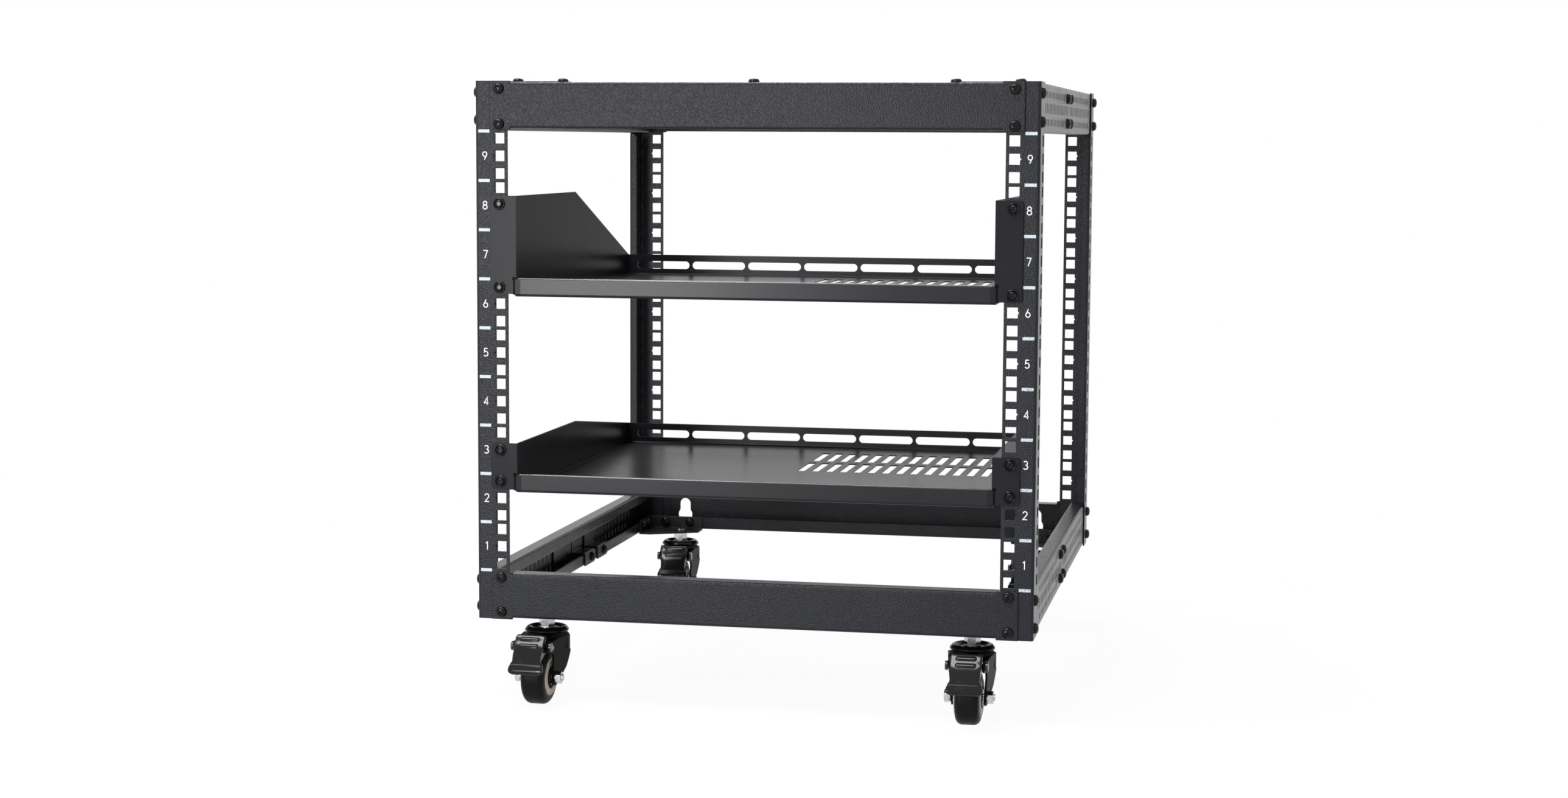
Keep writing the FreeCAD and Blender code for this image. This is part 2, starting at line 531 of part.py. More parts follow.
# Stamped fork: a dome under the cap, and two legs that run down to the axle and forward to the pedal pin.
def make_fork(caster):
    body = caster.body("fork")
    top = "(Dims.caster_height - Dims.fork_top)"
    under = "(%s - Dims.fork_plate)" % top
    bore = "Dims.king_radius + Dims.running_gap"
    wall = "Dims.fork_radius - Dims.fork_sheet"
    dome = new_sketch(body, "XZ_Plane")
    bent_outline(dome, [(bore, under), (wall, under, "Dims.fork_shoulder - Dims.fork_sheet"), (wall, "44"),
                        ("Dims.fork_radius", "44"), ("Dims.fork_radius", top, "Dims.fork_shoulder"),
                        (bore, top)])
    revolve(body, dome, "Z_Axis")
    arch = new_sketch(body, "YZ_Plane")
    skirt = [(-30, 56.5), (-14, 55.5), (-4, 49), (0, 47), (10, 46), (30, 50), (30, 40), (-30, 40)]
    polygon(arch, [(str(y), str(z)) for y, z in skirt])
    feature(body, "Pocket", arch, "4 * Dims.fork_radius", both=True)
    apron = new_sketch(body, "XY_Plane", under)
    front = [(-20.6, -1), (-18, -20), (-14, -24), (14, -24), (18, -20), (20.6, -1), (13, -15), (-13, -15)]
    polygon(apron, [(str(x), str(y)) for x, y in front])
    feature(body, "Pad", apron, "Dims.fork_plate")
    normal = FreeCAD.Vector(-math.tan(math.radians(number("Dims.fork_toe"))),
                            -math.tan(math.radians(number("Dims.fork_splay"))), 1)
    leg = new_sketch(body, "YZ_Plane", "Dims.fork_inside", normal)
    edge = [(6, 46), (3.5, 39), (-1, 31.5), (-9.7, 25), (-16.5, 19.4), (-20, 17.8), (-25, 17.6),
            (-28.5, 20.5), (-28.8, 27), (-29.9, 44.3), (-31.5, 47.4), (-34.7, 49.4), (-44.5, 51.2),
            (-47, 53), (-47.8, 56.5), (-47, 60), (-44.5, 61.8), (-40, 61.2), (-36.3, 60.2), (-30, 60.6),
            (-22.5, 62.1), (-1, 62.1), (-1, 52)]
    polygon(leg, [(str(y), str(z)) for y, z in edge])
    ring(leg, "-Dims.trail", "Dims.wheel_radius", "Dims.axle_radius + 0.2")
    ring(leg, "-Dims.pin_ahead", "Dims.pin_height", "Dims.pin_radius + 0.2")
    mirror(body, [feature(body, "Pad", leg, "Dims.fork_sheet")])


# The wheel bolt with its nut, and the pin that the pedal turns on.
def make_axle(caster):
    reach, hub, seat = "Dims.axle_reach", "Dims.wheel_radius", "Dims.axle_seat"
    corner = "Dims.axle_flats / sqrt(3)"
    nut = "0.75 * (%s - %s)" % (reach, seat)
    ahead = "Dims.trail"
    collar = "0.9"
    bolt = fused(caster.name + "_bolt", [
        caster.crosswise("shank", "Cylinder", ahead, hub, "-%s + 2" % reach, Radius="Dims.axle_radius",
                         Height="2 * %s - 2" % reach),
        caster.crosswise("head_washer", "Cylinder", ahead, hub, "-" + seat, Radius="Dims.axle_flats / 2",
                         Height=collar),
        caster.crosswise("nut_washer", "Cylinder", ahead, hub, "%s - %s" % (seat, collar),
                         Radius="Dims.axle_flats / 2", Height=collar),
        caster.crosswise("bolt_head", "Prism", ahead, hub, "-%s - %s" % (seat, nut), Circumradius=corner,
                         Height=nut),
        caster.crosswise("bolt_nut", "Prism", ahead, hub, seat, Circumradius=corner, Height=nut)])
    reach, ahead, rise, seat = "Dims.pin_reach", "Dims.pin_ahead", "Dims.pin_height", "Dims.pin_seat"
    nut = "%s - %s" % (reach, seat)
    pin = fused(caster.name + "_pin", [
        caster.crosswise("pin_shank", "Cylinder", ahead, rise, "-" + reach, Radius="Dims.pin_radius",
                         Height="2 * " + reach),
        caster.crosswise("pin_head", "Cylinder", ahead, rise, "-" + reach, Radius="2.1 * Dims.pin_radius",
                         Height=nut),
        caster.crosswise("pin_nut", "Cylinder", ahead, rise, seat, Radius="2.1 * Dims.pin_radius",
                         Height=nut)])
    return gather(caster.name + "_axle", [bolt, pin])


def make_wheel(caster):
    tyre = caster.body("tyre", "Dims.trail", "Dims.wheel_radius")
    half = "Dims.tyre_width / 2"
    section = new_sketch(tyre, "XY_Plane")
    bent_outline(section, [("-" + half, "Dims.hub_radius"), (half, "Dims.hub_radius"),
                           (half, "Dims.wheel_radius", "Dims.tyre_shoulder"),
                           ("-" + half, "Dims.wheel_radius", "Dims.tyre_shoulder")])
    revolve(tyre, section, "X_Axis")
    hub = caster.body("hub", "Dims.trail", "Dims.wheel_radius")
    section = new_sketch(hub, "XY_Plane")
    bore = "Dims.axle_radius + Dims.running_gap"
    boss, ring_face, web = "12.4", "Dims.hub_width / 2", "7.5"
    boss_radius, ring_radius = "7", "10.5"
    side = [(boss, bore), (boss, boss_radius), (web, boss_radius), (web, ring_radius),
            (ring_face, ring_radius, "0.8"), (ring_face, "Dims.hub_radius - 0.4", "0.8")]
    rim = [(half, "Dims.hub_radius - 0.4"), (half, "Dims.hub_radius")]
    outline = side + rim
    bent_outline(section, outline + [("-" + c[0],) + tuple(c[1:]) for c in reversed(outline)])
    revolve(hub, section, "X_Axis")


# Pedal: one stamped strip, ribbed above, drawn in at the waist and rolled forward into a wide lip.
def make_pedal(caster):
    body = caster.body("pedal")
    pin, rise = "Dims.pin_ahead", "Dims.pin_height"

    def seen_from_side(points):
        return [("-(%s + %g)" % (pin, ahead), "%s + %g" % (rise, up)) for ahead, up in points]

    path = [(1.2, 11.1), (3.5, 9.9), (10.5, 2), (15.2, -5), (17.6, -10.7), (19, -14.2), (21, -17.5),
            (21.2, -20), (20, -22.5)]
    strip = new_sketch(body, "YZ_Plane")
    polygon(strip, seen_from_side(path + inner_path(path, number("Dims.pedal_sheet"))))
    feature(body, "Pad", strip, "Dims.pedal_width", both=True)
    waist = new_sketch(body, "XZ_Plane")
    flare = [(13.6, 70), (14.2, 66.5), (14.2, 58), (13.3, 53.5), (12.9, 50), (13.3, 47), (15.3, 43),
             (16.3, 41), (16.5, 38), (15.8, 35.6), (13.6, 33.8), (13.6, 30), (18, 30), (18, 70)]
    polygon(waist, [(str(x), str(z)) for x, z in flare])
    mirror(body, [feature(body, "Pocket", waist, "200", both=True)])
    for low, high in ((0.2, 0.46), (0.56, 0.82)):
        rib = new_sketch(body, "YZ_Plane")
        polygon(rib, seen_from_side(rib_outline(path[1], path[2], low, high)))
        feature(body, "Pad", rib, "Dims.rib_width", both=True)
    ear = new_sketch(body, "YZ_Plane", "Dims.ear_inside")
    flank = [(2.6, 9.7), (9.9, 1.5), (14.5, -5.3), (16.7, -10.6), (11, -9.5), (5, -6.5), (0, -5.2),
             (-4, -3.4), (-5, 0.5), (-4, 5), (0, 9)]
    polygon(ear, seen_from_side(flank))
    ring(ear, "-" + pin, rise, "Dims.pin_radius + Dims.running_gap")
    mirror(body, [feature(body, "Pad", ear, "Dims.pedal_sheet")])


def inner_path(path, thick):
    # The same path moved inward by the sheet thickness, listed backwards.
    spots = [FreeCAD.Vector(x, y, 0) for x, y in path]
    runs = [(after - before).normalize() for before, after in zip(spots, spots[1:])]
    moved = []
    for place, spot in enumerate(spots):
        before, after = runs[max(place - 1, 0)], runs[min(place, len(runs) - 1)]
        outward = FreeCAD.Vector(before.y + after.y, -before.x - after.x, 0).normalize()
        reach = thick / outward.dot(FreeCAD.Vector(before.y, -before.x, 0))
        moved.append((spot.x + outward.x * reach, spot.y + outward.y * reach))
    return moved[::-1]


def rib_outline(start, end, low, high):
    # A low ridge on the straight run from start to end, between two fractions of its length.
    run = FreeCAD.Vector(end[0] - start[0], end[1] - start[1], 0)
    outward = FreeCAD.Vector(-run.y, run.x, 0).normalize()
    slope = 0.2 * (high - low)
    marks = [(low, -0.5), (low, 0), (low + slope, 0.9), (high - slope, 0.9), (high, 0), (high, -0.5)]
    return [(start[0] + run.x * part + outward.x * rise, start[1] + run.y * part + outward.y * rise)
            for part, rise in marks]


top_brackets = []
for end, ahead in front_rear:
    for side, hand in left_right:
        make_post(end, ahead, side, hand)
        make_bracket(end, ahead, side, hand, "caster", 1)
        top_brackets.append(make_bracket(end, ahead, side, hand, "top", -1))
    for level, upward in (("bottom", 1), ("top", -1)):
        make_cross_rail(end, ahead, level, upward)
for side, hand in left_right:
    for level, upward in (("bottom", 1), ("top", -1)):
        for end in ("front", "rear"):
            make_side_rail(side, hand, level, upward, end)
for level in ("lower", "upper"):
    make_shelf(level)

stems, caps = [], []
for end, ahead in front_rear:
    for side, hand in left_right:
        caster = Caster(end, ahead, side, hand)
        stems.append(make_stem(caster))
        caps.append(make_cap(caster))
        make_fork(caster)
        make_axle(caster)
        make_wheel(caster)
        make_pedal(caster)
gather("caster_stems", stems)
gather("caster_caps", caps)
clips = []
for side, hand in left_right:
    for level, upward in (("bottom", 1), ("top", -1)):
        clips += [make_clip(side, hand, level, upward, place) for place in (0, 1)]
gather("rail_clips", clips)
gather("top_brackets", top_brackets)

doc.recompute()
faults = [item.Name for item in doc.Objects if "Invalid" in item.State or "Error" in item.State]
faults += [body.Label for body in nodes if body.Shape.isNull() or not body.Shape.isValid()]
if faults:
    raise SystemExit("failed: " + ", ".join(faults))
os.makedirs("parts", exist_ok=True)
for body in nodes:
    body.Shape.exportStep("parts/%s.step" % body.Label)
    print(body.Label, len(body.Shape.Solids), round(body.Shape.Volume, 1), body.Shape.BoundBox)
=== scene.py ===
import json
import math

import bmesh
import bpy
from mathutils import Matrix, Vector


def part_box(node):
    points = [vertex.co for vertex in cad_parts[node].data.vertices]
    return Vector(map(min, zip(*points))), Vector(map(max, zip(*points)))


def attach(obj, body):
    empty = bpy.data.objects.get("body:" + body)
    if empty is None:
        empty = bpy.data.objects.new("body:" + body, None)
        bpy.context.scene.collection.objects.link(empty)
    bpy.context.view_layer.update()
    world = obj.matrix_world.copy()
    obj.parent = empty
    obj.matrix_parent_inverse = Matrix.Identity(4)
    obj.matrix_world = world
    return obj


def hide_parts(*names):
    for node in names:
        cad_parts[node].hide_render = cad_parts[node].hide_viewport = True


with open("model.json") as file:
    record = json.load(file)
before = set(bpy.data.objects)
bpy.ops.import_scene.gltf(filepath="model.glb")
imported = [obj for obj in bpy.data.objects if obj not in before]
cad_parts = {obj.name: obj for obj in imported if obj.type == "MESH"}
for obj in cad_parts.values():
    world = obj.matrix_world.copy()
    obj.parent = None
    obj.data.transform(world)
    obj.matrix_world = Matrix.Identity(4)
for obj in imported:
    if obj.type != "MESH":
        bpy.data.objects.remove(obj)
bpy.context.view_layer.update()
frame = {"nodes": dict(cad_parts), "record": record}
mm = 0.001
print("rack: frame loaded with", len(frame["nodes"]), "nodes")


# Shader maths: a wire is one socket, and sums on wires add Math nodes.
class Wire:
    def __init__(self, sheet, socket):
        self.sheet = sheet
        self.socket = socket

    def out(self, name):
        return Wire(self.sheet, pickSocket(self.socket.node.outputs, name))

    def sum(self, operation, first, second):
        return self.sheet.node("ShaderNodeMath", {"operation": operation}, {0: first, 1: second})

    def __add__(self, other):
        return self.sum("ADD", self, other)

    def __radd__(self, other):
        return self.sum("ADD", other, self)

    def __sub__(self, other):
        return self.sum("SUBTRACT", self, other)

    def __rsub__(self, other):
        return self.sum("SUBTRACT", other, self)

    def __mul__(self, other):
        return self.sum("MULTIPLY", self, other)

    def __rmul__(self, other):
        return self.sum("MULTIPLY", other, self)


def pickSocket(sockets, key):
    if isinstance(key, int):
        return sockets[key]
    for socket in sockets:
        if socket.identifier == key:
            return socket
    return sockets[key]


class Sheet:
    def __init__(self, tree):
        self.tree = tree
        self.tree.nodes.clear()

    def node(self, kind, settings=None, sockets=None):
        made = self.tree.nodes.new(kind)
        for name, value in (settings or {}).items():
            if name == "stops":
                self.setStops(made.color_ramp.elements, value)
            else:
                setattr(made, name, value)
        for name, value in (sockets or {}).items():
            target = pickSocket(made.inputs, name)
            if isinstance(value, Wire):
                self.tree.links.new(value.socket, target)
            else:
                target.default_value = value
        shown = [socket for socket in made.outputs if socket.enabled]
        return Wire(self, shown[0]) if shown else made

    def setStops(self, elements, stops):
        while len(elements) < len(stops):
            elements.new(0.5)
        for element, (position, grey) in zip(elements, stops):
            element.position = position
            element.color = (grey, grey, grey, 1)

    def ramp(self, value, low, high):
        return self.node("ShaderNodeValToRGB", {"stops": [(low, 0), (high, 1)]}, {"Fac": value})

    def blend(self, factor, first, second):
        sockets = {"Factor_Float": factor, "A_Color": first, "B_Color": second}
        return self.node("ShaderNodeMix", {"data_type": "RGBA"}, sockets).out("Result_Color")

    def place(self):
        return self.node("ShaderNodeTexCoord").out("Object")

    def noise(self, scale, detail=2.0, roughness=0.5):
        sockets = {"Vector": self.place(), "Scale": scale, "Detail": detail, "Roughness": roughness}
        return self.node("ShaderNodeTexNoise", {}, sockets)

    def bump(self, height, strength, distance, edge=0.6 * mm):
        softened = self.node("ShaderNodeBevel", {"samples": 6}, {"Radius": edge})
        sockets = {"Height": height, "Strength": strength, "Distance": distance, "Normal": softened}
        return self.node("ShaderNodeBump", {}, sockets)


def rgba(colour):
    return (colour[0], colour[1], colour[2], 1)


def newFinish(name, skinSockets):
    material = bpy.data.materials.new(name)
    material.use_nodes = True
    sheet = Sheet(material.node_tree)
    skin = sheet.node("ShaderNodeBsdfPrincipled", {}, skinSockets(sheet))
    sheet.node("ShaderNodeOutputMaterial", {}, {"Surface": skin})
    return material


# Powder coat: coarse cells with a finer grain on them, and cloudy patches of sheen.
wrinkle = {"coarse": 0.8, "fine": 0.3, "fineScale": 1.7, "fineSheen": 0.16, "cloudSheen": 0.1}


def powderCoat(name, look):
    def sockets(sheet):
        grain = sheet.node("ShaderNodeTexVoronoi", {"feature": "F1"},
                           {"Vector": sheet.place(), "Scale": look["grain"]})
        fine = sheet.noise(look["grain"] * wrinkle["fineScale"], 3.0, 0.6)
        cloud = sheet.noise(look["cloud"], 3.0, 0.55)
        height = (1 - grain) * wrinkle["coarse"] + fine * wrinkle["fine"]
        sheen = (fine - 0.5) * wrinkle["fineSheen"] + (cloud - 0.5) * wrinkle["cloudSheen"]
        skin = {
            "Base Color": sheet.blend(cloud, rgba(look["dark"]), rgba(look["light"])),
            "Roughness": look["roughness"] + sheen,
            "Specular IOR Level": look["specular"],
            "Normal": sheet.bump(height, look["bump"], look["depth"], look["edge"]),
        }
        if "gloss" in look:  # the tray and lip are glossier than the ears, and the side walls are flat
            spot = sheet.node("ShaderNodeSeparateXYZ", {}, {"Vector": sheet.place()})
            tray = sheet.node("ShaderNodeMath", {"operation": "COMPARE"},
                              {0: spot.out("X"), 1: 0.0, 2: look["trayHalf"]})
            ear = sheet.node("ShaderNodeMath", {"operation": "LESS_THAN"},
                             {0: spot.out("Y"), 1: look["earBack"]})
            skin["Coat Weight"] = tray * look["gloss"] + (1 - tray) * ear * look["earGloss"]
            skin["Coat Roughness"] = look["roughness"]
        return skin
    return newFinish(name, sockets)


# Gloss paint: a faint ripple, and dust that dulls it in places.
paintFilm = {"dustFrom": 0.58, "dustTo": 0.78, "dustDull": 0.12, "ripple": 0.05, "depth": 0.1 * mm}


def glossPaint(name, look):
    def sockets(sheet):
        ripple = sheet.noise(look["ripple"], 2.0, 0.5)
        dust = sheet.ramp(sheet.noise(look["dust"], 4.0, 0.7), paintFilm["dustFrom"], paintFilm["dustTo"])
        return {
            "Base Color": sheet.blend(dust, rgba(look["dark"]), rgba(look["light"])),
            "Roughness": look["roughness"] + dust * paintFilm["dustDull"],
            "Specular IOR Level": look["specular"],
            "Normal": sheet.bump(ripple, paintFilm["ripple"], paintFilm["depth"]),
        }
    return newFinish(name, sockets)


# Zinc plate: bluish and warm blooms under fine scratches. A look with a pin is black above a height.
zincFilm = {"dull": 0.15, "scratch": 0.04, "depth": 0.05 * mm}


def zincPlate(name, look):
    def sockets(sheet):
        bloom = sheet.noise(look["bloom"], 3.0, 0.6)
        scratch = sheet.noise(look["scratch"], 5.0, 0.7)
        skin = {
            "Base Color": sheet.blend(bloom, rgba(look["blue"]), rgba(look["warm"])),
            "Metallic": 1.0,
            "Roughness": look["roughness"] + (scratch - 0.5) * zincFilm["dull"],
            "Normal": sheet.bump(scratch, zincFilm["scratch"], zincFilm["depth"]),
        }
        if "pin" in look:
            height = sheet.node("ShaderNodeSeparateXYZ", {}, {"Vector": sheet.place()}).out("Z")
            pin = sheet.node("ShaderNodeMath", {"operation": "GREATER_THAN"}, {0: height, 1: look["above"]})
            skin["Base Color"] = sheet.blend(pin, skin["Base Color"], rgba(look["pin"]))
            skin["Metallic"] = 1 - pin
        return skin
    return newFinish(name, sockets)


plasticSkin = {"dull": 0.2, "depth": 0.06 * mm}


def mouldedPlastic(name, look):
    def sockets(sheet):
        cloud = sheet.noise(look["cloud"], 3.0, 0.5)
        speck = sheet.noise(look["speck"], 2.0, 0.6)
        return {
            "Base Color": sheet.blend(cloud, rgba(look["dark"]), rgba(look["light"])),
            "Roughness": look["roughness"] + (speck - 0.5) * plasticSkin["dull"],
            "Specular IOR Level": look["specular"],
            "Normal": sheet.bump(speck, look["bump"], plasticSkin["depth"]),
        }
    return newFinish(name, sockets)


printFilm = {"mottle": 300, "roughness": 0.6, "wornEdge": 0.06}


def screenPrint(name, look):
    def sockets(sheet):
        mottle = sheet.noise(printFilm["mottle"], 2.0, 0.5)
        wear = sheet.noise(look["wear"], 4.0, 0.7)
        worn = sheet.ramp(wear, look["lost"], look["lost"] + printFilm["wornEdge"])
        return {
            "Base Color": sheet.blend(mottle, rgba(look["dark"]), rgba(look["light"])),
            "Roughness": printFilm["roughness"],
            "Alpha": 1 - worn,
        }
    return newFinish(name, sockets)


finishes = {
    "frame_black": powderCoat("wrinklePowderCoat", {
        "dark": (0.0125, 0.013, 0.0156), "light": (0.021, 0.0218, 0.0261), "grain": 850, "cloud": 14,
        "roughness": 0.25, "specular": 0.115, "bump": 1.0, "depth": 0.21 * mm, "edge": 1.3 * mm}),
    "shelf_black": powderCoat("shelfPowderCoat", {
        "dark": (0.010, 0.0104, 0.0125), "light": (0.017, 0.0175, 0.0208), "grain": 900, "cloud": 11,
        "roughness": 0.24, "specular": 0.012, "bump": 1.0, "depth": 0.06 * mm, "edge": 1.1 * mm,
        "gloss": 0.27, "earGloss": 0.09, "trayHalf": 213 * mm,
        "earBack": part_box("lower_shelf")[0][1] + 1.5 * mm}),
    "shelf_hem": powderCoat("shelfHem", {
        "dark": (0.012, 0.0124, 0.0145), "light": (0.02, 0.0206, 0.024), "grain": 900, "cloud": 11,
        "roughness": 0.16, "specular": 0.9, "bump": 1.0, "depth": 0.03 * mm, "edge": 0.3 * mm}),
    "caster_black": glossPaint("casterGlossBlack", {
        "dark": (0.005, 0.005, 0.006), "light": (0.012, 0.012, 0.014), "ripple": 320, "dust": 90,
        "roughness": 0.12, "specular": 0.24}),
    "fork_black": glossPaint("forkSatinBlack", {
        "dark": (0.004, 0.004, 0.005), "light": (0.009, 0.009, 0.010), "ripple": 320, "dust": 90,
        "roughness": 0.34, "specular": 0.02}),
    "cap_black": glossPaint("capGlossBlack", {
        "dark": (0.004, 0.004, 0.005), "light": (0.010, 0.010, 0.011), "ripple": 320, "dust": 90,
        "roughness": 0.16, "specular": 0.16}),
    "screw_black": glossPaint("screwBlackOxide", {
        "dark": (0.003, 0.003, 0.0035), "light": (0.009, 0.009, 0.010), "ripple": 700, "dust": 260,
        "roughness": 0.13, "specular": 0.2}),
    "zinc": zincPlate("brightZinc", {
        "blue": (0.36, 0.40, 0.44), "warm": (0.60, 0.59, 0.56), "bloom": 140, "scratch": 500,
        "roughness": 0.2}),
    "zinc_axle": zincPlate("zincAxle", {
        "blue": (0.36, 0.40, 0.44), "warm": (0.60, 0.59, 0.56), "bloom": 140, "scratch": 500,
        "roughness": 0.2, "pin": (0.006, 0.006, 0.007), "above": 42 * mm}),
    "tread": mouldedPlastic("treadBlack", {
        "dark": (0.005, 0.005, 0.006), "light": (0.009, 0.009, 0.010), "cloud": 60, "speck": 700,
        "roughness": 0.4, "specular": 0.06, "bump": 0.15}),
    "hub": mouldedPlastic("hubBeige", {
        "dark": (0.36, 0.31, 0.26), "light": (0.47, 0.41, 0.35), "cloud": 90, "speck": 500,
        "roughness": 0.5, "specular": 0.4, "bump": 0.12}),
    "digit_white": screenPrint("unitDigits", {
        "dark": (0.74, 0.77, 0.80), "light": (0.84, 0.86, 0.88), "wear": 900, "lost": 0.86}),
    "marking_white": screenPrint("unitDashes", {
        "dark": (0.40, 0.47, 0.52), "light": (0.50, 0.56, 0.61), "wear": 900, "lost": 0.76}),
    "marking_worn": screenPrint("unitDashesWorn", {
        "dark": (0.40, 0.47, 0.52), "light": (0.50, 0.56, 0.61), "wear": 620, "lost": 0.56}),
}
slotOf = {row["node"]: row["material_slot"] for row in frame["record"]["subparts"]}
finishByEnding = {"_fork": "fork_black", "_caps": "cap_black", "_axle": "zinc_axle"}
for nodeName, nodeObject in frame["nodes"].items():
    ending = "_" + nodeName.split("_")[-1]
    nodeObject.data.materials.clear()
    nodeObject.data.materials.append(finishes[finishByEnding.get(ending, slotOf[nodeName])])
print("rack: finishes on", len(slotOf), "nodes")


# Pieces made here: a mesh, its finish, the slot it belongs to and the body it rides on.
def addPiece(name, mesh, finish, body):
    piece = bpy.data.objects.new(name, mesh)
    bpy.context.collection.objects.link(piece)
    mesh.materials.append(finishes[finish])
    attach(piece, body)
    return piece


quarterTurn = [math.radians(15 * k) for k in range(7)]


def lathe(profile, steps):
    shape = bmesh.new()
    rings = []
    for radius, height in profile:
        if radius == 0:
            rings.append([shape.verts.new((0, 0, height))])
            continue
        turn = 2 * math.pi / steps
        rings.append([shape.verts.new((radius * math.cos(turn * k), radius * math.sin(turn * k), height))
                      for k in range(steps)])
    for lower, upper in zip(rings, rings[1:]):
        for k in range(steps):
            corners = [lower[k % len(lower)], lower[(k + 1) % len(lower)],
                       upper[(k + 1) % len(upper)], upper[k % len(upper)]]
            shape.faces.new(list(dict.fromkeys(corners)))
    bmesh.ops.recalc_face_normals(shape, faces=shape.faces)
    return shape


def band(shape, first, second):
    for k in range(len(first)):
        after = (k + 1) % len(first)
        shape.faces.new([first[k], first[after], second[after], second[k]])


def prism(points, low, high, taper=1.0):
    shape = bmesh.new()
    bottom = [shape.verts.new((x * taper, y * taper, low)) for x, y in points]
    top = [shape.verts.new((x, y, high)) for x, y in points]
    shape.faces.new(list(reversed(bottom)))
    shape.faces.new(top)
    band(shape, bottom, top)
    return shape


def carve(shape, tool):
    holders = []
    for label, part in (("carveShape", shape), ("carveTool", tool)):
        mesh = bpy.data.meshes.new(label)
        part.to_mesh(mesh)
        part.free()
        holder = bpy.data.objects.new(label, mesh)
        bpy.context.collection.objects.link(holder)
        holders.append(holder)
    cut = holders[0].modifiers.new("recess", "BOOLEAN")
    cut.operation = "DIFFERENCE"
    cut.solver = "EXACT"
    cut.object = holders[1]
    graph = bpy.context.evaluated_depsgraph_get()
    result = bmesh.new()
    result.from_object(holders[0], graph)
    for holder in holders:
        bpy.data.objects.remove(holder)
    return result


def gather(merged, shape):
    held = bpy.data.meshes.new("held")
    shape.to_mesh(held)
    shape.free()
    merged.from_mesh(held)
    bpy.data.meshes.remove(held)


def smoothMesh(shape, name, angle=35):
    for face in shape.faces:
        face.smooth = True
    for edge in shape.edges:
        if len(edge.link_faces) == 2 and edge.calc_face_angle() > math.radians(angle):
            edge.smooth = False
    mesh = bpy.data.meshes.new(name)
    shape.to_mesh(mesh)
    shape.free()
    return mesh


def crossOutline(arm, half):
    return [(half, half), (half, arm), (-half, arm), (-half, half), (-arm, half), (-arm, -half),
            (-half, -half), (-half, -arm), (half, -arm), (half, -half), (arm, -half), (arm, half)]


# Crown of a screw head, from its rim at a height up to its middle.
def crownProfile(radius, rim, top, bow, steps):
    turns = [math.pi / 2 * k / steps for k in range(1, steps)]
    return [(radius * math.cos(a) ** bow, rim + (top - rim) * math.sin(a)) for a in turns] + [(0, top)]


panScrew = {"radius": 4.95 * mm, "rim": 1.2 * mm, "height": 3.8 * mm, "bow": 0.75, "bowSteps": 7, "steps": 32,
            "arm": 3.0 * mm, "half": 0.68 * mm, "recess": 1.8 * mm, "over": 1 * mm, "taper": 0.55}


def panHead():
    r, h, rim = panScrew["radius"], panScrew["height"], panScrew["rim"]
    profile = [(0, 0), (r, 0), (r, rim)] + crownProfile(r, rim, h, panScrew["bow"], panScrew["bowSteps"])
    tool = prism(crossOutline(panScrew["arm"], panScrew["half"]), h - panScrew["recess"], h + panScrew["over"],
                 panScrew["taper"])
    return smoothMesh(carve(lathe(profile, panScrew["steps"]), tool), "panHead")


socketScrew = {"radius": 3.7 * mm, "rim": 0.5 * mm, "height": 2.3 * mm, "bow": 0.8, "bowSteps": 6, "steps": 32,
               "key": 2.35 * mm, "recess": 1.5 * mm, "over": 1 * mm, "taper": 0.95, "seat": 0.4,
               "washer": 5.6 * mm, "washerBore": 3.9 * mm, "washerRise": 1.5 * mm, "washerSteps": 36}


def buttonHead():
    r = socketScrew["radius"]
    lift = socketScrew["washerRise"] * socketScrew["seat"]
    rim, top = lift + socketScrew["rim"], lift + socketScrew["height"]
    profile = [(0, lift), (r, lift), (r, rim)]
    profile += crownProfile(r, rim, top, socketScrew["bow"], socketScrew["bowSteps"])
    turns = [2 * math.pi * k / 6 for k in range(6)]
    key = [(socketScrew["key"] * math.cos(a), socketScrew["key"] * math.sin(a)) for a in turns]
    tool = prism(key, top - socketScrew["recess"], top + socketScrew["over"], socketScrew["taper"])
    return smoothMesh(carve(lathe(profile, socketScrew["steps"]), tool), "buttonHead")


def cupWasher():
    outer, bore, rise = socketScrew["washer"], socketScrew["washerBore"], socketScrew["washerRise"]
    profile = [(bore, 0), (outer, 0), (outer, 0.35 * rise), (outer - 0.3 * mm, 0.75 * rise),
               (outer - 0.9 * mm, rise), (outer - 1.3 * mm, 0.95 * rise), (bore, 0.45 * rise), (bore, 0)]
    return smoothMesh(lathe(profile, socketScrew["washerSteps"]), "cupWasher")


# A row of the same fastener becomes one piece; each stands on its face and is turned a little differently.
fastenerTwist = {"first": 23, "step": 37, "within": 90}


def fasten(name, template, spots, finish, body="frame"):
    merged = bmesh.new()
    for count, (spot, outward) in enumerate(spots):
        copy = bmesh.new()
        copy.from_mesh(template)
        facing = Vector(outward).to_track_quat("Z", "Y").to_matrix().to_4x4()
        turned = fastenerTwist["first"] + fastenerTwist["step"] * count % fastenerTwist["within"]
        twist = Matrix.Rotation(math.radians(turned), 4, "Z")
        copy.transform(Matrix.Translation(Vector(spot)) @ facing @ twist)
        gather(merged, copy)
    addPiece(name, smoothMesh(merged, name), finish, body)


def nodeBox(node):
    low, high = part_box(node)
    return Vector(low), Vector(high)


rack = {"unit": 44.45 * mm, "units": 9, "column": 232.55 * mm, "postMargin": 45 * mm, "halfWidth": 255 * mm}
postLow = nodeBox("front_left_post")[0]
frontFace, rearFace = postLow.y, nodeBox("rear_left_post")[1].y
unitBase = postLow.z + rack["postMargin"]
unitTop = unitBase + rack["units"] * rack["unit"]
panelFront = nodeBox("front_top_rail")[0].y
panelRear = nodeBox("rear_top_rail")[1].y
print("rack: front face at %.4f, units from %.4f to %.4f" % (frontFace, unitBase, unitTop))

sides = (-1, 1)
sideName = {-1: "left", 1: "right"}
panMesh = panHead()
buttonMesh = buttonHead()
washerMesh = cupWasher()

